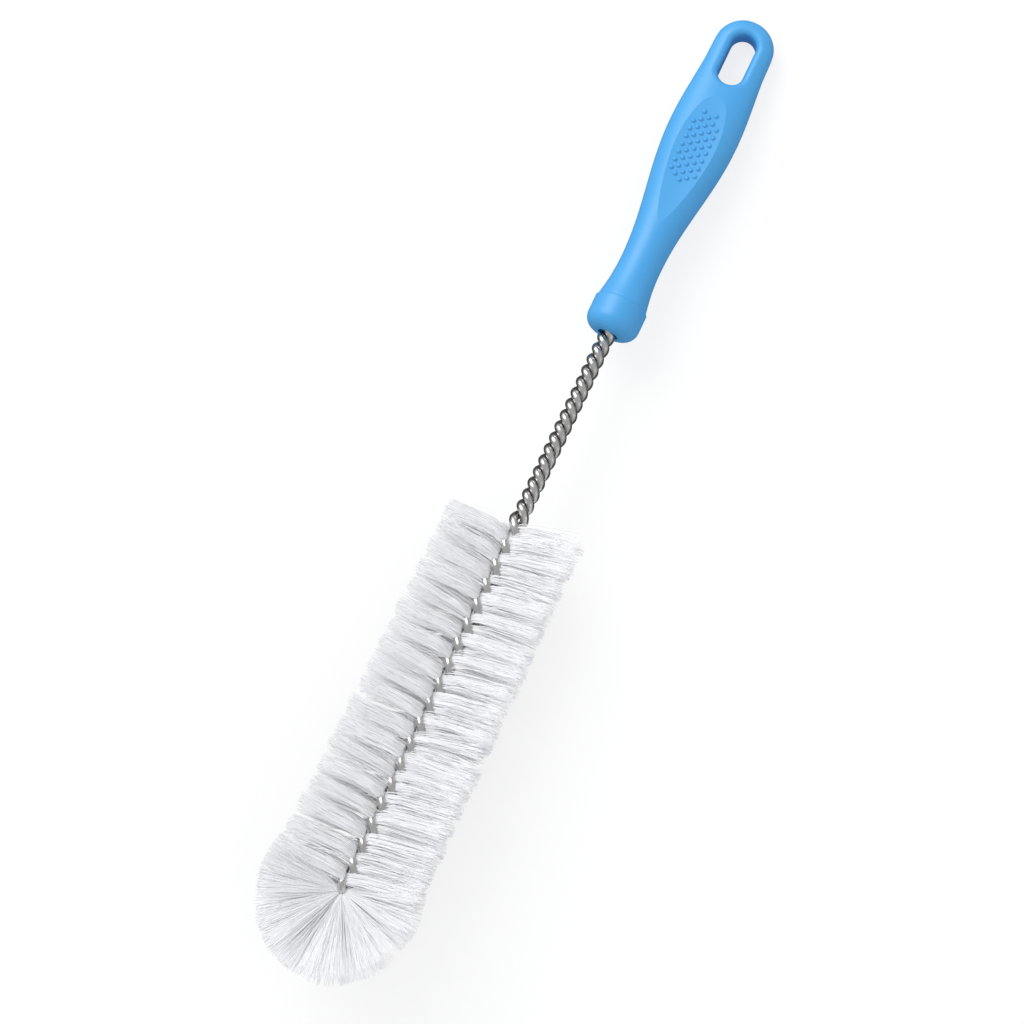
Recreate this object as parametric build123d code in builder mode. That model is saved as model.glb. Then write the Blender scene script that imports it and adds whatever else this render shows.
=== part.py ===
"""Bottle brush: a plastic handle, a twisted wire core and a head of bristle tufts.

Everything is modelled along the brush's own axis: Z runs from the mouth of the handle (z = 0) to
the tip, the handle lies at negative z, its width along X and its front face towards +Y.  The last
section lays the brush down on its side, as it comes to rest on a table.
"""
from build123d import *
from math import atan, ceil, cos, pi, radians, sin, sqrt
import os

# ---- Driving dimensions, millimetres and degrees ---------------------------------------------

# handle: distances along it are measured back from the mouth
collar_radius = 8.85
collar_length = 11.0
collar_end_radius = 4.6       # rounding of the collar's front edge
collar_step = 0.45            # the collar stands this much proud of the neck
waist_at = 26.0
waist_width = 13.7
waist_thickness = 13.2
grip_width_at = 75.0
grip_width = 23.6
grip_thickness_at = 65.0
grip_thickness = 17.0
hang_at = 106.4               # centre of the rounded hang end
hang_width = 19.8
hang_thickness = 10.4
grip_squareness = 2.2         # exponent of the oval section, 2 is an ellipse
hang_squareness = 2.7
section_spacing = 6.5

# hang slot
slot_width = 8.2
slot_length = 18.7
slot_rim_radius = 1.9

# thumb pad with its nubs
pad_from = 39.5
pad_to = 86.0
pad_hollow_radius = 80.0
nub_radius = 0.85
nub_height = 0.6
nub_column_pitch = 2.05
nub_row_pitch = 2.9
nub_field_width = 11.4
nub_field_length = 28.5
nub_field_at = 66.5

# twisted wire
wire_diameter = 2.8
strand_gap_stem = 0.1         # between the two strands, on the axis
strand_gap_head = 0.7
stem_pitch = 8.2              # one full turn
stem_length = 68.7            # bare wire, from the mouth to the first tuft
socket_depth = 52.0           # wire held inside the handle
socket_clearance = 0.1
mouth_clearance = 0.5
mouth_depth = 1.6
blend_length = 5.0            # where the stem's twist opens out to the head's
fold_height = 3.4             # the fold at the tip, beyond the last tuft

# bristle head
tuft_count = 18
tuft_length = 7.04             # one half turn of the wire
tuft_spacing = 0.15           # between neighbouring tufts
rear_radius = 23.5
front_radius = 25.3
slab_clearance = 0.06         # between the bristles and each strand
tuft_spread = 15.0            # half angle of the bow tie
end_radius = 26.0             # round fan at the tip
end_centre = 4.5              # its centre, beyond the last tuft
end_thickness = 4.0           # of the fan's dome
end_root_radius = 6.0         # of the fan's root around the wire's fold
fold_clearance = 0.3

# rest
rest_flat = 1.0               # the lowest bristles bend by this much under the brush

os.makedirs("parts", exist_ok=True)

# ---- Sizes that follow ----------------------------------------------------------------------

stem_radius = (wire_diameter + strand_gap_stem) / 2    # of the strands' centre lines
head_radius = (wire_diameter + strand_gap_head) / 2
head_pitch = 2 * tuft_length
head_end = stem_length + tuft_count * tuft_length
stem_outer_radius = stem_radius + wire_diameter / 2
neck_radius = collar_radius - collar_step


def ease(fraction):
    """Smooth rise from 0 to 1."""
    return (1 - cos(pi * min(max(fraction, 0.0), 1.0))) / 2


def between(distance, low_at, low, peak_at, peak, end_at, end):
    """A size that eases from low to peak and on to end along the handle."""
    if distance <= peak_at:
        return low + (peak - low) * ease((distance - low_at) / (peak_at - low_at))
    return peak + (end - peak) * ease((distance - peak_at) / (end_at - peak_at))


def half_size(distance, waist, grip_at, grip, hang):
    """Half width or half thickness of the handle behind the collar."""
    if distance < waist_at:
        neck = (distance - collar_length) / (waist_at - collar_length)
        return waist + (neck_radius - waist) * (1 - neck) ** 2
    return between(distance, waist_at, waist, grip_at, grip, hang_at, hang)


def half_width(distance):
    return half_size(distance, waist_width / 2, grip_width_at, grip_width / 2, hang_width / 2)


def half_thickness(distance):
    return half_size(
        distance, waist_thickness / 2, grip_thickness_at, grip_thickness / 2, hang_thickness / 2
    )


def squareness(distance):
    return between(distance, waist_at, 2.0, grip_width_at, grip_squareness, hang_at, hang_squareness)


def oval_point(angle, half_x, half_y, exponent):
    """Point of a squarish oval, at an angle in radians."""
    c, s = cos(angle), sin(angle)
    x = half_x * abs(c) ** (2 / exponent) * (1 if c >= 0 else -1)
    y = half_y * abs(s) ** (2 / exponent) * (1 if s >= 0 else -1)
    return x, y


# ---- Handle ---------------------------------------------------------------------------------

section_count = ceil((hang_at - collar_length) / section_spacing)
loft_start = collar_length - 2 * collar_step           # a little way inside the collar
hang_angles = (18, 36, 52, 66, 77, 85)                 # sections round the hang end


def handle_sections():
    """Distance, half width, half thickness and exponent of each section of the grip."""
    for i in range(section_count + 1):
        distance = loft_start + (hang_at - loft_start) * i / section_count
        yield distance, half_width(distance), half_thickness(distance), squareness(distance)
    for angle in hang_angles:
        reach = sin(radians(angle))
        yield hang_at + hang_width / 2 * reach, *hang_section(reach), hang_squareness


def hang_section(reach):
    """Half width and half thickness of the hang end at a share of its radius."""
    fullness = (1 - reach**hang_squareness) ** (1 / hang_squareness)
    return hang_width / 2 * sqrt(1 - reach**2), hang_thickness / 2 * fullness


# the thumb pad is a long shallow scoop between two points of the front face
pad_start = Vector(0, half_thickness(pad_from), -pad_from)
pad_end = Vector(0, half_thickness(pad_to), -pad_to)
pad_plane = Plane(origin=pad_start, x_dir=(1, 0, 0), z_dir=pad_end - pad_start)
pad_reach = (pad_end - pad_start).length
nub_middle = (nub_field_at - pad_from) / (pad_to - pad_from) * pad_reach


def nub_places():
    """Centres of the nubs in the pad's own plane: across, and along from its start."""
    columns = int(nub_field_width / 2 / nub_column_pitch)
    rows = int(nub_field_length / 2 / nub_row_pitch)
    for column in range(-columns, columns + 1):
        for row in range(-rows, rows + 1):
            across = column * nub_column_pitch
            along = (row + 0.5 * (column % 2)) * nub_row_pitch
            if (2 * across / nub_field_width) ** 2 + (2 * along / nub_field_length) ** 2 < 1:
                yield across, along


with BuildPart() as handle:
    # grip and hang end
    for distance, half_x, half_y, exponent in handle_sections():
        oval = [oval_point(radians(a), half_x, half_y, exponent) for a in range(0, 360, 15)]
        with BuildSketch(Plane.XY.offset(-distance)):
            with BuildLine():
                Spline(*oval, periodic=True)
            make_face()
    loft()

    # hang slot, its outer end concentric with the hang end
    with BuildSketch(Plane.XZ):
        with Locations((0, -hang_at + (slot_length - slot_width) / 2)):
            SlotOverall(slot_length, slot_width, rotation=90)
    extrude(amount=hang_thickness, both=True, mode=Mode.SUBTRACT)
    rims = [edge for edge in handle.edges(Select.LAST) if abs(edge.center().Y) > hang_thickness / 4]
    fillet(rims, slot_rim_radius)

    # thumb pad
    with BuildSketch(pad_plane):
        with Locations((0, -pad_hollow_radius)):
            Circle(pad_hollow_radius)
    extrude(amount=pad_reach, mode=Mode.SUBTRACT)

    # collar
    with BuildSketch(Plane.XZ):
        with BuildLine():
            Polyline(
                (collar_radius - collar_end_radius, 0),
                (0, 0),
                (0, -collar_length),
                (neck_radius, -collar_length),
                (collar_radius, -collar_length + collar_step),
                (collar_radius, -collar_end_radius),
            )
            RadiusArc(
                (collar_radius, -collar_end_radius),
                (collar_radius - collar_end_radius, 0),
                -collar_end_radius,
            )
        make_face()
    revolve(axis=Axis.Z)

    # nubs, part sunk into the pad's scoop
    for across, along in nub_places():
        scoop = pad_hollow_radius - sqrt(pad_hollow_radius**2 - across**2)
        place = pad_plane * Location((across, -scoop + nub_radius - nub_height, nub_middle + along))
        with Locations(place):
            Sphere(nub_radius)

    # blind socket for the wire, with a slightly wider mouth
    with BuildSketch(Plane.XY):
        Circle(stem_outer_radius + mouth_clearance)
    extrude(amount=-mouth_depth, mode=Mode.SUBTRACT)
    with BuildSketch(Plane.XY):
        Circle(stem_outer_radius + socket_clearance)
    extrude(amount=-socket_depth - wire_diameter, mode=Mode.SUBTRACT)

# ---- Core wire ------------------------------------------------------------------------------

blend_start = stem_length - blend_length
stem_turn = 360 * (blend_start + socket_depth) / stem_pitch
blend_turn = 360 * blend_length * (1 / stem_pitch + 1 / head_pitch) / 2


def head_angle(distance):
    """Angle of the first strand in the head, in degrees; the twist is left-handed."""
    return -stem_turn - blend_turn - 360 * (distance - stem_length) / head_pitch


def blend_point(share, start_angle):
    """Point of a strand where the stem's twist opens out to the head's."""
    turn = blend_length * 360 * share * (1 / stem_pitch + (1 / head_pitch - 1 / stem_pitch) * share / 2)
    radius = stem_radius + (head_radius - stem_radius) * ease(share)
    angle = radians(start_angle - stem_turn - turn)
    return radius * cos(angle), radius * sin(angle), blend_start + share * blend_length


def strand(start_angle):
    """Centre line of one strand, from the socket to the end of the head."""
    stem = Helix(
        stem_pitch,
        blend_start + socket_depth,
        stem_radius,
        center=(0, 0, -socket_depth),
        lefthand=True,
    ).rotate(Axis.Z, start_angle)
    head = Helix(
        head_pitch,
        head_end - stem_length,
        head_radius,
        center=(0, 0, stem_length),
        lefthand=True,
    ).rotate(Axis.Z, start_angle + head_angle(stem_length))
    blend = Spline(
        stem @ 1,
        *[blend_point(share, start_angle) for share in (0.25, 0.5, 0.75)],
        head @ 0,
        tangents=[stem % 1, head % 0],
    )
    return stem, blend, head


first_strand = strand(0)
second_strand = strand(180)
fold = Spline(
    first_strand[-1] @ 1,
    (0, 0, head_end + fold_height),
    second_strand[-1] @ 1,
    tangents=[first_strand[-1] % 1, -(second_strand[-1] % 1)],
)

with BuildPart() as core_wire:
    for run in (*first_strand, fold, *second_strand):
        with BuildSketch(Plane(origin=run @ 0, z_dir=run % 0)):
            Circle(wire_diameter / 2)
        sweep(path=run, is_frenet=run is not fold and run.geom_type != GeomType.BSPLINE)

# ---- Floor under the brush ------------------------------------------------------------------

# The brush lies on the back of its handle and on the rear edge of its head.  The floor is the
# steepest plane through that edge that clears every part of the handle.
edge_depth = rear_radius - rest_flat


def back_depth(distance, half_x, half_y, exponent):
    """How far the back of a section stands out, beside the slot where the slot cuts it."""
    from_slot = abs(distance - hang_at + (slot_length - slot_width) / 2)
    if from_slot > slot_length / 2:
        return half_y
    rim = slot_width / 2 + slot_rim_radius
    return half_y * (1 - (rim / half_x) ** exponent) ** (1 / exponent)


lean = min(
    atan((edge_depth - back_depth(*section)) / (stem_length + section[0]))
    for section in handle_sections()
)
floor_plane = Plane(
    origin=(0, -edge_depth, stem_length), x_dir=(1, 0, 0), z_dir=(0, cos(lean), sin(lean))
)

# ---- Bristle head ---------------------------------------------------------------------------

slab_thickness = strand_gap_head - 2 * slab_clearance
flare_start = wire_diameter * 0.9     # clear of the strands' flanks


def bow_tie(start, radius):
    """Section of a tuft: a thin slab between the strands that spreads to a fan on each side."""
    half_slab = slab_thickness / 2
    fan_x = radius * sin(radians(tuft_spread))
    fan_y = radius * cos(radians(tuft_spread))
    with BuildSketch(Plane.XY.offset(start).rotated((0, 0, head_angle(start)))) as section:
        with BuildLine():
            Polyline((half_slab, 0), (half_slab, flare_start), (fan_x, fan_y))
            ThreePointArc((fan_x, fan_y), (0, radius), (-fan_x, fan_y))
            Polyline((-fan_x, fan_y), (-half_slab, flare_start), (-half_slab, 0))
            Line((-half_slab, 0), (half_slab, 0))
        make_face()
        mirror(about=Plane.XZ)
    return section


tufts = []
for i in range(tuft_count):
    tuft_start = stem_length + i * tuft_length + tuft_spacing / 2
    tuft_end = tuft_start + tuft_length - tuft_spacing
    radius = rear_radius + (front_radius - rear_radius) * i / (tuft_count - 1)
    guide = Helix(
        head_pitch, tuft_end - tuft_start, radius, center=(0, 0, tuft_start), lefthand=True
    ).rotate(Axis.Z, head_angle(tuft_start))
    with BuildPart() as tuft:
        with BuildLine():
            axis_run = Line((0, 0, tuft_start), (0, 0, tuft_end))
        sweep(bow_tie(tuft_start, radius).sketch, path=axis_run, binormal=guide)
        split(bisect_by=floor_plane, keep=Keep.TOP)
    tufts.append(tuft)

fold_tip = head_end + fold_height + wire_diameter / 2
fan_centre = head_end + end_centre
fan_back = head_end + tuft_spacing / 2
with BuildPart() as end_tuft:
    with BuildSketch(Plane.XZ):
        with Locations((0, fan_centre)):
            Circle(end_radius)
            Circle(end_radius - end_thickness, mode=Mode.SUBTRACT)
        with Locations((0, fan_back)):
            Rectangle(2 * end_root_radius, end_radius, align=(Align.CENTER, Align.MIN))
            Rectangle(
                2 * (head_radius + wire_diameter / 2 + fold_clearance),
                fold_tip + fold_clearance - fan_back,
                align=(Align.CENTER, Align.MIN),
                mode=Mode.SUBTRACT,
            )
            Rectangle(2 * end_radius, 2 * end_radius, align=(Align.CENTER, Align.MAX), mode=Mode.SUBTRACT)
            Rectangle(end_radius, 2 * end_radius, align=(Align.MAX, Align.MIN), mode=Mode.SUBTRACT)
    revolve(axis=Axis.Z)

# ---- Rest pose ------------------------------------------------------------------------------

pieces = {"handle": handle, "core_wire": core_wire}
for i, tuft in enumerate(tufts, start=1):
    pieces[f"tuft_{i:02d}"] = tuft
pieces["end_tuft"] = end_tuft

# +X runs from the hang end to the tip, the front of the handle looks up, and the origin is on
# the floor under the middle of the brush
back_reach = max(
    distance * cos(lean) + half_y * sin(lean) for distance, half_x, half_y, exponent in handle_sections()
)
front_reach = fan_centre * cos(lean) + end_radius
rest_pose = Plane(
    origin=(
        (back_reach - front_reach) / 2,
        0,
        edge_depth * cos(lean) - stem_length * sin(lean),
    ),
    x_dir=(0, 1, 0),
    z_dir=(cos(lean), 0, sin(lean)),
).location

for name, piece in pieces.items():
    piece.part.label = name
    piece.part.locate(rest_pose)
    export_step(piece.part, f"parts/{name}.step")
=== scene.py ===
"""Looks of a bottle brush: satin plastic handle, bright steel wire and loose nylon bristles.

Laid out as an add-on and run as a script.  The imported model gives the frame: the handle and the
wire are shown as they are, and each tuft's plain solid gives way to its own filaments.
"""
import math

import bmesh
import bpy
import numpy as np
from bpy.props import FloatProperty, FloatVectorProperty, IntProperty, PointerProperty
from mathutils import Matrix, Vector


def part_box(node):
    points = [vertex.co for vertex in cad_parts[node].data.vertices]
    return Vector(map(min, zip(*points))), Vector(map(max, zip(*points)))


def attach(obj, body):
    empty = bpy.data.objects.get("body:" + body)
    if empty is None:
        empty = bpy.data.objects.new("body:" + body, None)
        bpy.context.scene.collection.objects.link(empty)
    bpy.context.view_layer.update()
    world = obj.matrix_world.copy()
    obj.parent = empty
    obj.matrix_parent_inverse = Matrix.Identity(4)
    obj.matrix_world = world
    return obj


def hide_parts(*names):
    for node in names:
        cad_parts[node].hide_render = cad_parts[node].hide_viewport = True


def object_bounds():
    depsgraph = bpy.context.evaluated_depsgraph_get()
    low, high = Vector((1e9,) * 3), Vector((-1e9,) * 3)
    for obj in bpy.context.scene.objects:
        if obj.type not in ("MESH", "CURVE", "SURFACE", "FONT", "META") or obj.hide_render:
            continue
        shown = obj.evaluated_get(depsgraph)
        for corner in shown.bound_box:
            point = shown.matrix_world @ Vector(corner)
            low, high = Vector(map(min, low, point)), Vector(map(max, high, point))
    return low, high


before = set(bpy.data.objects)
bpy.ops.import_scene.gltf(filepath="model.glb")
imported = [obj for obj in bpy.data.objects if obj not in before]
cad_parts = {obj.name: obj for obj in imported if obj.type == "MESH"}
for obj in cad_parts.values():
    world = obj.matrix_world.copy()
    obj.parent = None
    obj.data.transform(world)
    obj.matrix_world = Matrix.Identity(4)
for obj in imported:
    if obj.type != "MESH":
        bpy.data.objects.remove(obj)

bl_info = {
    "name": "Bottle Brush",
    "version": (1, 0, 0),
    "blender": (4, 5, 0),
    "location": "View3D > Sidebar > Brush",
    "description": "Bristles, finishes and studio for a bottle brush",
    "category": "Object",
}

MM = 0.001
CAD_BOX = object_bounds()
TUFTS = sorted(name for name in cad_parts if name.startswith("tuft_"))
FAN = "end_tuft"
TONE = "filament_tone"
FLOOR_CLEARANCE = 0.05 * MM
FLOOR_HALF_SIZE = 3.0
FLOOR_WHITE = (0.94, 0.94, 0.94, 1.0)
FLOOR_GLOW_SHARE = 0.78
ROOM_COLOUR = (0.97, 0.985, 1.0, 1.0)
SENSOR_WIDTH = 36.0
KEY_OFFSET = Vector((-0.52, -0.78, 0.85))
KEY_SIZE = 0.9
FILL_OFFSET = Vector((0.5, 0.9, 0.8))
FILL_SIZE = 0.6
LAMP_GLOSS = 1.5
PLASTIC_ROUGHNESS = (0.36, 0.44)
STEEL_ROUGHNESS = (0.18, 0.28)
NYLON_ROUGHNESS = (0.55, 0.42)
NYLON_LIGHT_PASSED = 0.93
NYLON_DIMMEST = 0.95
STEEL_DULLEST = 0.84
FAN_REACH = 1.03
FAN_FALL = math.radians(80)
FAN_RAGGEDNESS = 0.7
FAN_CLUMP_SIZE = 2


# ---- The brush's own axis, read from the frame --------------------------------------------------

def node_points(name):
    """Corners of a CAD node as an array, in metres."""
    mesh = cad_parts[name].data
    points = np.empty(len(mesh.vertices) * 3, np.float32)
    mesh.vertices.foreach_get("co", points)
    return points.reshape(-1, 3).astype(float)


class BrushAxis:
    """Line through the wire, with distances along it and directions around it."""

    def __init__(self):
        wire = node_points("core_wire")
        self.origin = wire.mean(0)
        self.along = np.linalg.svd((wire - self.origin)[::5], full_matrices=False)[2][0]
        self.origin[1] = 0.0
        self.along[1] = 0.0
        self.along *= np.sign(self.along[0]) / np.linalg.norm(self.along)
        self.side = np.array([0.0, 1.0, 0.0])
        self.above = np.cross(self.along, self.side)
        self.twist_start, self.twist_rate = self.read_twist(wire)

    def place(self, distance, radius, angle):
        """Points at distances along the axis, radii from it and angles around it."""
        across = (radius * np.cos(angle))[..., None] * self.side
        above = (radius * np.sin(angle))[..., None] * self.above
        return self.origin + distance[..., None] * self.along + across + above

    def measure(self, points):
        """Distance along the axis, radius and angle of each point."""
        offset = points - self.origin
        across = offset @ self.side
        above = offset @ self.above
        return offset @ self.along, np.hypot(across, above), np.arctan2(above, across)

    def span(self, name):
        """First and last distance of a node along the axis."""
        distance = self.measure(node_points(name))[0]
        return distance.min(), distance.max()

    def read_twist(self, wire):
        """Angle of the strands at distance 0 and its change per metre, along the head."""
        distance, radius, angle = self.measure(wire)
        steps = np.linspace(self.span(TUFTS[0])[0], self.span(TUFTS[-1])[1], 400)
        near = steps[1] - steps[0]
        turned = []
        for step in steps:
            ring = abs(distance - step) < near
            turned.append(np.angle(np.sum(radius[ring] ** 2 * np.exp(2j * angle[ring]))))
        rate, start = np.polyfit(steps, np.unwrap(turned) / 2, 1)
        return start, rate

    def between_strands(self, distance):
        """Direction in which the filaments leave the wire."""
        return self.twist_start + self.twist_rate * distance + math.pi / 2


AXIS = BrushAxis()


# ---- Sizes and colours a user would change ------------------------------------------------------

class BristleSettings(bpy.types.PropertyGroup):
    """Filaments of the head and of the end fan."""

    diameter: FloatProperty(
        name="Filament diameter", default=0.23 * MM, unit="LENGTH",
        description="Thickness of one filament",
    )
    per_tuft: IntProperty(
        name="Filaments per tuft", default=780, description="Filament halves in each half turn",
    )
    in_fan: IntProperty(
        name="Filaments in the fan", default=2500, description="Filaments at the tip",
    )
    spread: FloatProperty(
        name="Spread", default=math.radians(86), subtype="ANGLE",
        description="Half angle a bunch opens to around the wire",
    )
    per_clump: IntProperty(
        name="Filaments per clump", default=9, description="Filaments that cling together",
    )
    parting: FloatProperty(
        name="Parting", default=math.radians(29), subtype="ANGLE",
        description="Steepest rise of a filament at the top, where the wire shows",
    )
    gather: FloatProperty(
        name="Gather", default=1.14,
        description="Width of a bunch at its ends, as a share of a half turn",
    )
    shoulder: FloatProperty(
        name="Shoulder", default=math.radians(72), subtype="ANGLE",
        description="Steepest rise of a filament close to the wire",
    )
    drift: FloatProperty(
        name="Drift", default=0.7 * MM, unit="LENGTH", description="How far ends stray along the head",
    )
    unevenness: FloatProperty(
        name="Unevenness", default=0.6 * MM, unit="LENGTH",
        description="How far whole bunches differ in length and direction",
    )
    skew: FloatProperty(
        name="Skew", default=0.9 * MM, unit="LENGTH",
        description="How far the ends on one side stray to the handle and on the other to the tip",
    )
    edge_drop: FloatProperty(
        name="Edge drop", default=0.06,
        description="Share of its reach that a bunch loses at its edges",
    )
    fan_turn: FloatProperty(
        name="Fan turn", default=math.radians(119), subtype="ANGLE",
        description="How far the fan turns to each side from straight ahead",
    )
    fan_skew: FloatProperty(
        name="Fan skew", default=math.radians(11), subtype="ANGLE",
        description="Turn of the whole fan to one side",
    )
    fan_overhang: FloatProperty(
        name="Fan overhang", default=0.13,
        description="Extra reach of the fan straight ahead, as a share of its radius",
    )
    sweep: FloatProperty(
        name="Sweep", default=2.6 * MM, unit="LENGTH",
        description="How far a filament runs towards the handle before it stands up",
    )
    raggedness: FloatProperty(
        name="Raggedness", default=2.6 * MM, unit="LENGTH",
        description="Unevenness of the trimmed ends",
    )
    wave: FloatProperty(
        name="Wave", default=0.45 * MM, unit="LENGTH", description="Unevenness along a filament",
    )
    seed: IntProperty(name="Seed", default=7, description="Start of the random draws")
    colour: FloatVectorProperty(
        name="Bristle colour", default=(0.96, 0.96, 0.985), subtype="COLOR",
        description="White nylon",
    )


class FinishSettings(bpy.types.PropertyGroup):
    """Plastic and steel."""

    plastic: FloatVectorProperty(
        name="Plastic colour", default=(0.052, 0.315, 0.665), subtype="COLOR",
        description="Handle blue",
    )
    plastic_pale: FloatVectorProperty(
        name="Plastic pale tone", default=(0.062, 0.335, 0.685), subtype="COLOR",
        description="Faint flow marks in the moulding",
    )
    steel: FloatVectorProperty(
        name="Steel colour", default=(0.66, 0.65, 0.64), subtype="COLOR",
        description="Drawn steel",
    )


class StudioSettings(bpy.types.PropertyGroup):
    """Camera, floor and lamps."""

    distance: FloatProperty(
        name="Camera distance", default=1.6425, unit="LENGTH", description="From the aim point",
    )
    lens: FloatProperty(name="Lens", default=182.72, description="Focal length in millimetres")
    lean_along: FloatProperty(
        name="Lean to the tip", default=math.radians(9.079), subtype="ANGLE",
        description="Camera's lean from straight above, towards the tip",
    )
    lean_across: FloatProperty(
        name="Lean across", default=math.radians(5.502), subtype="ANGLE",
        description="Camera's lean from straight above, across the brush",
    )
    roll: FloatProperty(
        name="Roll", default=math.radians(-24.668), subtype="ANGLE",
        description="Turn of the camera about its view",
    )
    aim: FloatVectorProperty(
        name="Aim", default=(0.010967, -0.003309, 0.019541), subtype="TRANSLATION",
        description="Point the camera looks at",
    )
    world_level: FloatProperty(
        name="World level", default=0.80, description="Brightness of the room as a light",
    )
    mirrored_level: FloatProperty(
        name="Mirrored level", default=0.56, description="Brightness of the room in reflections",
    )
    mirrored_floor: FloatProperty(
        name="Mirrored floor", default=0.10, description="Brightness of the floor in reflections",
    )
    key_level: FloatProperty(
        name="Key level", default=0.48, description="What the large lamp adds on the floor",
    )
    fill_level: FloatProperty(
        name="Fill level", default=0.02, description="What the smaller lamp adds on the floor",
    )


# ---- Shader pieces ------------------------------------------------------------------------------

def new_material(name):
    """A node material with a Principled shader."""
    material = bpy.data.materials.new(name)
    material.use_nodes = True
    tree = material.node_tree
    tree.nodes.clear()
    shader = tree.nodes.new("ShaderNodeBsdfPrincipled")
    output = tree.nodes.new("ShaderNodeOutputMaterial")
    tree.links.new(shader.outputs["BSDF"], output.inputs["Surface"])
    return material, tree, shader


def fine_grain_group():
    """Broad mask and fine height on Object coordinates, stretched along X."""
    group = bpy.data.node_groups.new("Fine Grain", "ShaderNodeTree")
    for label, value in (("Scale", 100.0), ("Stretch", 1.0), ("Fineness", 14.0)):
        socket = group.interface.new_socket(
            name=label, in_out="INPUT", socket_type="NodeSocketFloat"
        )
        socket.default_value = value
    group.interface.new_socket(name="Mask", in_out="OUTPUT", socket_type="NodeSocketFloat")
    group.interface.new_socket(name="Height", in_out="OUTPUT", socket_type="NodeSocketFloat")
    nodes = group.nodes
    links = group.links
    given = nodes.new("NodeGroupInput")
    result = nodes.new("NodeGroupOutput")
    place = nodes.new("ShaderNodeTexCoord")
    axes = nodes.new("ShaderNodeCombineXYZ")
    axes.inputs["Y"].default_value = 1.0
    axes.inputs["Z"].default_value = 1.0
    stretched = nodes.new("ShaderNodeVectorMath")
    stretched.operation = "MULTIPLY"
    broad = nodes.new("ShaderNodeTexNoise")
    fine = nodes.new("ShaderNodeTexNoise")
    finer = nodes.new("ShaderNodeMath")
    finer.operation = "MULTIPLY"
    links.new(given.outputs["Stretch"], axes.inputs["X"])
    links.new(place.outputs["Object"], stretched.inputs[0])
    links.new(axes.outputs["Vector"], stretched.inputs[1])
    links.new(stretched.outputs["Vector"], broad.inputs["Vector"])
    links.new(stretched.outputs["Vector"], fine.inputs["Vector"])
    links.new(given.outputs["Scale"], broad.inputs["Scale"])
    links.new(given.outputs["Scale"], finer.inputs[0])
    links.new(given.outputs["Fineness"], finer.inputs[1])
    links.new(finer.outputs["Value"], fine.inputs["Scale"])
    links.new(broad.outputs["Fac"], result.inputs["Mask"])
    links.new(fine.outputs["Fac"], result.inputs["Height"])
    return group


def use_group(tree, group, **values):
    """Places a node group with its own values."""
    node = tree.nodes.new("ShaderNodeGroup")
    node.node_tree = group
    for label, value in values.items():
        node.inputs[label].default_value = value
    return node


def between(tree, mask, low, high):
    """A value from low to high that follows a mask."""
    node = tree.nodes.new("ShaderNodeMapRange")
    node.inputs["From Min"].default_value = 0.3
    node.inputs["From Max"].default_value = 0.7
    node.inputs["To Min"].default_value = low
    node.inputs["To Max"].default_value = high
    tree.links.new(mask, node.inputs["Value"])
    return node.outputs["Result"]


def mix_colours(tree, mask, low, high):
    """A colour between two that follows a mask."""
    node = tree.nodes.new("ShaderNodeMix")
    node.data_type = "RGBA"
    node.inputs[6].default_value = (*low, 1.0)
    node.inputs[7].default_value = (*high, 1.0)
    tree.links.new(mask, node.inputs["Factor"])
    return node.outputs[2]


def add_bump(tree, shader, height, distance, strength):
    """Bump from a height, with its distance in metres."""
    bump = tree.nodes.new("ShaderNodeBump")
    bump.inputs["Strength"].default_value = strength
    bump.inputs["Distance"].default_value = distance
    tree.links.new(height, bump.inputs["Height"])
    tree.links.new(bump.outputs["Normal"], shader.inputs["Normal"])


# ---- Materials ----------------------------------------------------------------------------------

def handle_plastic(grain, finish):
    """Satin moulded plastic with a fine grain and faint flow marks."""
    material, tree, shader = new_material("handle_plastic")
    pattern = use_group(tree, grain, Scale=90.0, Stretch=0.5, Fineness=26.0)
    mask = pattern.outputs["Mask"]
    colour = mix_colours(tree, mask, finish.plastic, finish.plastic_pale)
    tree.links.new(colour, shader.inputs["Base Color"])
    tree.links.new(between(tree, mask, *PLASTIC_ROUGHNESS), shader.inputs["Roughness"])
    shader.inputs["IOR"].default_value = 1.49
    add_bump(tree, shader, pattern.outputs["Height"], 0.03 * MM, 0.3)
    return material


def wire_steel(grain, finish):
    """Bright drawn wire with faint die lines."""
    material, tree, shader = new_material("wire_steel")
    pattern = use_group(tree, grain, Scale=400.0, Stretch=0.3, Fineness=10.0)
    mask = pattern.outputs["Mask"]
    dull = tuple(STEEL_DULLEST * channel for channel in finish.steel)
    tree.links.new(mix_colours(tree, mask, finish.steel, dull), shader.inputs["Base Color"])
    tree.links.new(between(tree, mask, *STEEL_ROUGHNESS), shader.inputs["Roughness"])
    shader.inputs["Metallic"].default_value = 1.0
    add_bump(tree, shader, pattern.outputs["Height"], 0.008 * MM, 0.3)
    return material


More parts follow.
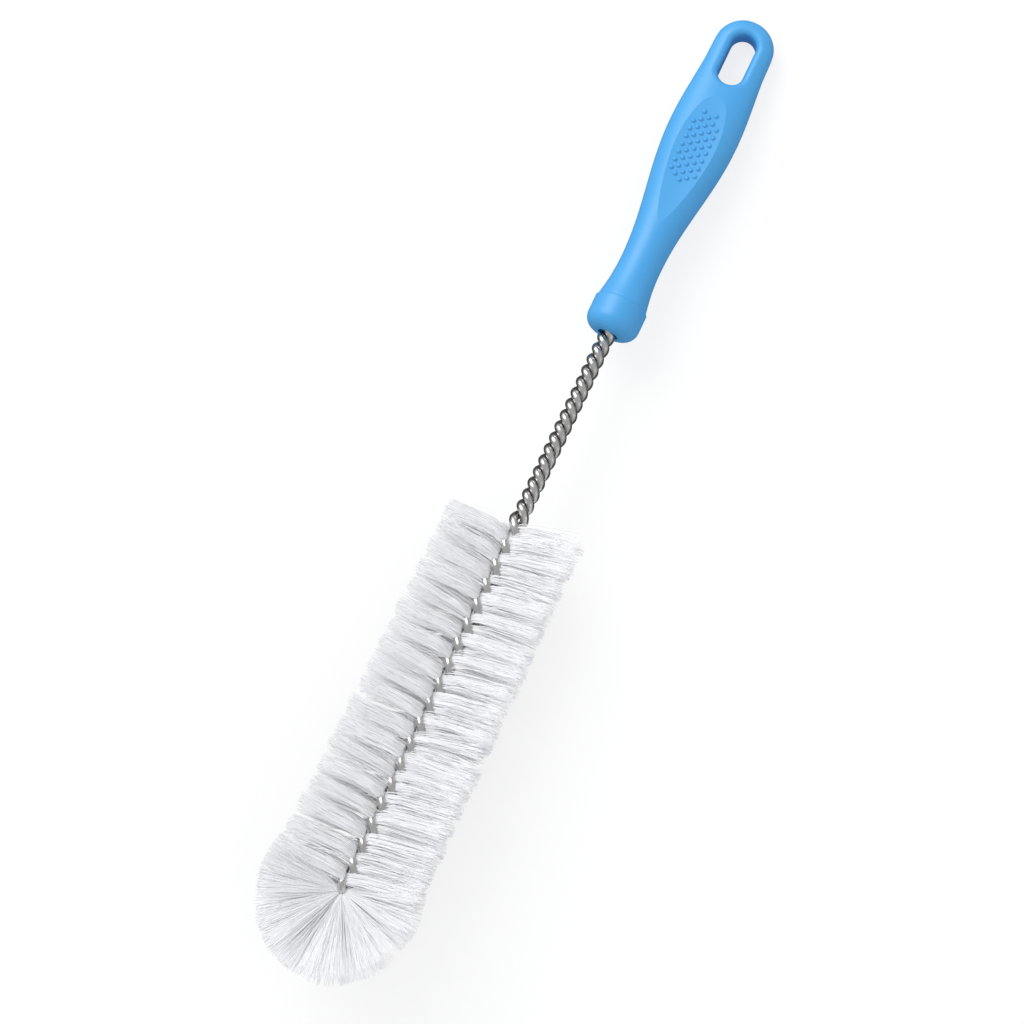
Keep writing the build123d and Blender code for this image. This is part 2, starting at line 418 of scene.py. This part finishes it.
def bristle_nylon(bristles):
    """White filament that hardly shades its neighbours, each with a tone of its own."""
    material, tree, shader = new_material("bristle_nylon")
    tone = tree.nodes.new("ShaderNodeAttribute")
    tone.attribute_name = TONE
    dim = tuple(NYLON_DIMMEST * channel for channel in bristles.colour)
    colour = mix_colours(tree, tone.outputs["Fac"], dim, bristles.colour)
    tree.links.new(colour, shader.inputs["Base Color"])
    roughness = between(tree, tone.outputs["Fac"], *NYLON_ROUGHNESS)
    tree.links.new(roughness, shader.inputs["Roughness"])
    shader.inputs["IOR"].default_value = 1.35
    # Lamp and bounced light mostly passes, as it would scatter on through thin nylon
    path = tree.nodes.new("ShaderNodeLightPath")
    indirect = tree.nodes.new("ShaderNodeMath")
    indirect.operation = "MAXIMUM"
    passed = tree.nodes.new("ShaderNodeMath")
    passed.operation = "MULTIPLY"
    passed.inputs[1].default_value = NYLON_LIGHT_PASSED
    clear = tree.nodes.new("ShaderNodeBsdfTransparent")
    fade = tree.nodes.new("ShaderNodeMixShader")
    tree.links.new(path.outputs["Is Shadow Ray"], indirect.inputs[0])
    tree.links.new(path.outputs["Is Diffuse Ray"], indirect.inputs[1])
    tree.links.new(indirect.outputs["Value"], passed.inputs[0])
    tree.links.new(passed.outputs["Value"], fade.inputs["Fac"])
    tree.links.new(shader.outputs["BSDF"], fade.inputs[1])
    tree.links.new(clear.outputs["BSDF"], fade.inputs[2])
    output = next(node for node in tree.nodes if node.type == "OUTPUT_MATERIAL")
    tree.links.new(fade.outputs["Shader"], output.inputs["Surface"])
    return material


# ---- Filaments ----------------------------------------------------------------------------------

def filament_piece(name, paths, tones, diameter, material, node):
    """One closed mesh of round filaments that stands for a CAD node."""
    paths[..., 2] = np.maximum(paths[..., 2], FLOOR_CLEARANCE + diameter / 2)
    count = paths.shape[1]
    curve = bpy.data.curves.new(name, "CURVE")
    curve.dimensions = "3D"
    curve.bevel_depth = diameter / 2
    curve.bevel_resolution = 0
    curve.use_fill_caps = True
    points = np.concatenate([paths, np.ones((*paths.shape[:2], 1))], axis=2)
    for filament in points:
        spline = curve.splines.new("POLY")
        spline.points.add(count - 1)
        spline.points.foreach_set("co", filament.ravel())
    lines = bpy.data.objects.new(name, curve)
    mesh = bpy.data.meshes.new_from_object(lines)
    bpy.data.objects.remove(lines)
    bpy.data.curves.remove(curve)
    mesh.name = name
    mesh.materials.clear()
    mesh.materials.append(material)
    tone = mesh.attributes.new(TONE, "FLOAT", "POINT")
    each = len(mesh.vertices) // len(paths)
    tone.data.foreach_set("value", np.repeat(tones, each).astype(np.float32))
    piece = bpy.data.objects.new(name, mesh)
    bpy.context.scene.collection.objects.link(piece)
    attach(piece, "root")
    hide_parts(node)
    return piece


def clumped(random, count, clumps, own):
    """Draws from -1 to 1 that the filaments of a clump nearly share; own is each one's share."""
    shared = random.uniform(-1, 1, clumps)[np.arange(count) % clumps]
    return (1 - own) * shared + own * random.uniform(-1, 1, count)


def part_at_top(angle, top):
    """Lays filaments that point above the elevation top over to the nearer side."""
    height = np.arcsin(np.sin(angle))
    low = -math.pi / 2
    height = low + (height - low) * (top - low) / math.pi
    turned = np.where(np.cos(angle) > 0, height, math.pi - height)
    return angle + (turned - angle + math.pi) % (2 * math.pi) - math.pi


def tuft_paths(node, bristles, random):
    """Routes of the filaments of one half turn, from the wire to the trimmed ends."""
    start, end = AXIS.span(node)
    reach = AXIS.measure(node_points(node))[1].max()
    centre = (start + end) / 2
    half = (end - start) / 2
    count = bristles.per_tuft
    clumps = count // bristles.per_clump
    along = clumped(random, count, clumps, own=0.25)
    opened = clumped(random, count, clumps, own=0.35)
    length = clumped(random, count, clumps, own=0.6)
    leave = AXIS.between_strands(centre + half * along) + math.pi * (np.arange(count) % clumps % 2)
    spread = leave + bristles.spread * opened
    shoulder = part_at_top(spread, bristles.shoulder)
    final = part_at_top(spread, bristles.parting)
    tip = reach * (1 - bristles.edge_drop * np.abs(along) ** 3)
    tip = tip - bristles.raggedness * (1 + length) / 2
    # The two bunches of a half turn differ a little from each other and from their neighbours
    side = (np.cos(final) > 0).astype(int)
    tip = tip - bristles.unevenness * random.random(2)[side]
    lean = bristles.sweep * (1 + 0.35 * clumped(random, count, clumps, own=0.5))
    stray = bristles.unevenness * random.normal(0, 1, 2)[side] - bristles.skew * np.cos(final)
    drift = bristles.drift * random.normal(0, 1, count) + stray
    wave = bristles.wave * random.normal(0, 1, (2, count))
    knots = (
        (0.01, leave),
        (0.065, leave + (shoulder - leave) * 0.25),
        (0.13, shoulder),
        (0.32, (shoulder + 3 * final) / 4),
        (0.65, final),
        (1.0, final),
    )
    paths = []
    for share, angle in knots:
        wavy = 4 * share * (1 - share)
        rise = 1 - math.exp(-5 * share)
        gather = 1 - (1 - bristles.gather) * rise
        distance = centre + half * along * gather + lean * (1 - rise) + drift * share
        paths.append(AXIS.place(distance + wave[0] * wavy, tip * share, angle + wave[1] * wavy / tip))
    return np.stack(paths, axis=1)


def fan_paths(bristles, random):
    """Routes of the filaments that burst from the wire's fold at the tip."""
    low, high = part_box(FAN)
    reach = (high.y - low.y) / 2 * FAN_REACH
    centre = np.array([high.x - reach, 0.0, high.z - reach])
    fold = AXIS.measure(centre[None])[0][0]
    count = bristles.in_fan
    clumps = count // (FAN_CLUMP_SIZE * bristles.per_clump)
    turn = bristles.fan_skew + bristles.fan_turn * clumped(random, count, clumps, own=0.07)
    height = clumped(random, count, clumps, own=0.08)
    height = np.where(height > 0, height * bristles.parting, height * FAN_FALL)
    length = clumped(random, count, clumps, own=0.5)
    forward = np.cos(turn) * np.cos(height)
    sideways = np.sin(turn) * np.cos(height)
    upward = np.sin(height)
    tip = reach * (1 + bristles.fan_overhang * np.maximum(forward, 0) ** 2)
    tip = tip - FAN_RAGGEDNESS * bristles.raggedness * (1 + length) / 2
    wave = bristles.wave * random.normal(0, 1, (2, count))
    paths = []
    for share in (0.02, 0.12, 0.3, 0.62, 1.0):
        wavy = 4 * share * (1 - share)
        distance = fold + tip * share * forward + wave[0] * wavy
        across = tip * share * sideways + wave[1] * wavy
        above = tip * share * upward
        paths.append(AXIS.place(distance, np.hypot(across, above), np.arctan2(above, across)))
    return np.stack(paths, axis=1)


# ---- Stage --------------------------------------------------------------------------------------

def floor_white(studio):
    """White paper that the camera sees mostly by its own glow, which keeps shadows faint.

    Reflections see it dark, so glossy rays don't meet the white that the camera does.
    """
    material, tree, shader = new_material("floor_white")
    shader.inputs["Base Color"].default_value = FLOOR_WHITE
    shader.inputs["Roughness"].default_value = 0.9
    shader.inputs["Specular IOR Level"].default_value = 0.0
    path = tree.nodes.new("ShaderNodeLightPath")
    share = tree.nodes.new("ShaderNodeMath")
    share.operation = "MULTIPLY"
    share.inputs[1].default_value = FLOOR_GLOW_SHARE
    tree.links.new(path.outputs["Is Camera Ray"], share.inputs[0])
    last = shader.outputs["BSDF"]
    for factor, level in (
        (share.outputs["Value"], 1.0),
        (path.outputs["Is Glossy Ray"], studio.mirrored_floor),
    ):
        glow = tree.nodes.new("ShaderNodeEmission")
        glow.inputs["Strength"].default_value = level
        mix = tree.nodes.new("ShaderNodeMixShader")
        tree.links.new(factor, mix.inputs["Fac"])
        tree.links.new(last, mix.inputs[1])
        tree.links.new(glow.outputs["Emission"], mix.inputs[2])
        last = mix.outputs["Shader"]
    output = next(node for node in tree.nodes if node.type == "OUTPUT_MATERIAL")
    tree.links.new(last, output.inputs["Surface"])
    return material


def add_floor(studio):
    """A wide plain floor under the brush."""
    shape = bmesh.new()
    bmesh.ops.create_grid(shape, x_segments=1, y_segments=1, size=FLOOR_HALF_SIZE)
    mesh = bpy.data.meshes.new("floor")
    shape.to_mesh(mesh)
    shape.free()
    mesh.materials.append(floor_white(studio))
    floor = bpy.data.objects.new("floor", mesh)
    bpy.context.scene.collection.objects.link(floor)


def add_world(scene, studio):
    """Plain white to the camera, an even grey room as light and a darker one in reflections."""
    world = bpy.data.worlds.new("room")
    world.use_nodes = True
    scene.world = world
    tree = world.node_tree
    tree.nodes.clear()
    path = tree.nodes.new("ShaderNodeLightPath")
    room = tree.nodes.new("ShaderNodeBackground")
    room.inputs["Color"].default_value = ROOM_COLOUR
    room.inputs["Strength"].default_value = studio.world_level
    dark = tree.nodes.new("ShaderNodeBackground")
    dark.inputs["Color"].default_value = ROOM_COLOUR
    dark.inputs["Strength"].default_value = studio.mirrored_level
    reflect = tree.nodes.new("ShaderNodeMixShader")
    tree.links.new(path.outputs["Is Glossy Ray"], reflect.inputs["Fac"])
    tree.links.new(room.outputs["Background"], reflect.inputs[1])
    tree.links.new(dark.outputs["Background"], reflect.inputs[2])
    seen = tree.nodes.new("ShaderNodeBackground")
    seen.inputs["Color"].default_value = (1.0, 1.0, 1.0, 1.0)
    mix = tree.nodes.new("ShaderNodeMixShader")
    output = tree.nodes.new("ShaderNodeOutputWorld")
    tree.links.new(path.outputs["Is Camera Ray"], mix.inputs["Fac"])
    tree.links.new(reflect.outputs["Shader"], mix.inputs[1])
    tree.links.new(seen.outputs["Background"], mix.inputs[2])
    tree.links.new(mix.outputs["Shader"], output.inputs["Surface"])


def add_lamps(studio):
    """A large soft lamp on one side and a weaker one opposite."""
    middle = (CAD_BOX[0] + CAD_BOX[1]) / 2
    places = (
        ("key_lamp", KEY_OFFSET, KEY_SIZE, studio.key_level),
        ("fill_lamp", FILL_OFFSET, FILL_SIZE, studio.fill_level),
    )
    for name, offset, size, level in places:
        lamp = bpy.data.lights.new(name, "AREA")
        lamp.shape = "SQUARE"
        lamp.size = size
        lamp.specular_factor = LAMP_GLOSS
        # A lamp of energy E and area A has the radiance E / (pi A), and a small lamp at a
        # distance d and height h adds energy * h / (pi ** 2 * d ** 3) to a white floor
        lamp.energy = level * math.pi ** 2 * offset.length ** 3 / offset.z
        holder = bpy.data.objects.new(name, lamp)
        holder.location = middle + offset
        holder.rotation_euler = offset.to_track_quat("Z", "Y").to_euler()
        bpy.context.scene.collection.objects.link(holder)


def add_camera(scene, studio):
    """A long lens almost straight above, turned so that the brush runs corner to corner."""
    along = studio.lean_along
    across = studio.lean_across
    back = Vector((
        math.sin(along),
        math.sin(across) * math.cos(along),
        math.cos(across) * math.cos(along),
    ))
    towards = Vector((-math.cos(studio.roll), math.sin(studio.roll), 0.0))
    right = (-back).cross(towards).normalized()
    up = right.cross(-back)
    camera = bpy.data.cameras.new("camera")
    camera.lens = studio.lens
    camera.sensor_width = SENSOR_WIDTH
    camera.clip_end = 100.0
    holder = bpy.data.objects.new("camera", camera)
    turned = Matrix((right, up, back)).transposed().to_4x4()
    holder.matrix_world = Matrix.Translation(Vector(studio.aim) + back * studio.distance) @ turned
    scene.collection.objects.link(holder)
    scene.camera = holder


# ---- Operators ----------------------------------------------------------------------------------

class BRUSH_OT_finish_handle_and_wire(bpy.types.Operator):
    """Gives the handle its plastic and the wire its steel"""

    bl_idname = "brush_kit.finish_handle_and_wire"
    bl_label = "Finish Handle and Wire"

    def execute(self, context):
        finish = context.scene.brush_finish
        grain = fine_grain_group()
        for name, material in (
            ("handle", handle_plastic(grain, finish)),
            ("core_wire", wire_steel(grain, finish)),
        ):
            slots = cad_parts[name].data.materials
            for index in range(len(slots)):
                slots[index] = material
        return {"FINISHED"}


class BRUSH_OT_add_bristles(bpy.types.Operator):
    """Adds the filaments of every tuft and of the end fan"""

    bl_idname = "brush_kit.add_bristles"
    bl_label = "Add Bristles"

    def execute(self, context):
        bristles = context.scene.brush_bristles
        random = np.random.default_rng(bristles.seed)
        material = bristle_nylon(bristles)
        for node in TUFTS + [FAN]:
            if node == FAN:
                paths = fan_paths(bristles, random)
            else:
                paths = tuft_paths(node, bristles, random)
            tones = random.random(len(paths))
            name = "bristles_" + node
            filament_piece(name, paths, tones, bristles.diameter, material, node)
        return {"FINISHED"}


class BRUSH_OT_set_stage(bpy.types.Operator):
    """Adds the floor, the soft lamps and the camera"""

    bl_idname = "brush_kit.set_stage"
    bl_label = "Set Stage"

    def execute(self, context):
        studio = context.scene.brush_studio
        add_floor(studio)
        add_world(context.scene, studio)
        add_lamps(studio)
        add_camera(context.scene, studio)
        context.scene.view_settings.view_transform = "Standard"
        return {"FINISHED"}


# ---- Panel and registration ---------------------------------------------------------------------

class BRUSH_PT_panel(bpy.types.Panel):
    """Sizes, colours and operators of the bottle brush"""

    bl_idname = "BRUSH_PT_panel"
    bl_label = "Bottle Brush"
    bl_space_type = "VIEW_3D"
    bl_region_type = "UI"
    bl_category = "Brush"

    def draw(self, context):
        scene = context.scene
        for group, operator in (
            (scene.brush_finish, BRUSH_OT_finish_handle_and_wire),
            (scene.brush_bristles, BRUSH_OT_add_bristles),
            (scene.brush_studio, BRUSH_OT_set_stage),
        ):
            box = self.layout.box()
            for name in group.__annotations__:
                box.prop(group, name)
            box.operator(operator.bl_idname)


CLASSES = (
    BristleSettings,
    FinishSettings,
    StudioSettings,
    BRUSH_OT_finish_handle_and_wire,
    BRUSH_OT_add_bristles,
    BRUSH_OT_set_stage,
    BRUSH_PT_panel,
)


def register():
    """Adds the classes and the scene's settings."""
    for cls in CLASSES:
        bpy.utils.register_class(cls)
    bpy.types.Scene.brush_bristles = PointerProperty(type=BristleSettings)
    bpy.types.Scene.brush_finish = PointerProperty(type=FinishSettings)
    bpy.types.Scene.brush_studio = PointerProperty(type=StudioSettings)


def unregister():
    """Takes the settings and the classes away again."""
    del bpy.types.Scene.brush_studio
    del bpy.types.Scene.brush_finish
    del bpy.types.Scene.brush_bristles
    for cls in reversed(CLASSES):
        bpy.utils.unregister_class(cls)


def main():
    """Registers the add-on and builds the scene."""
    register()
    bpy.ops.brush_kit.finish_handle_and_wire()
    bpy.ops.brush_kit.add_bristles()
    bpy.ops.brush_kit.set_stage()


if __name__ == "__main__":
    main()
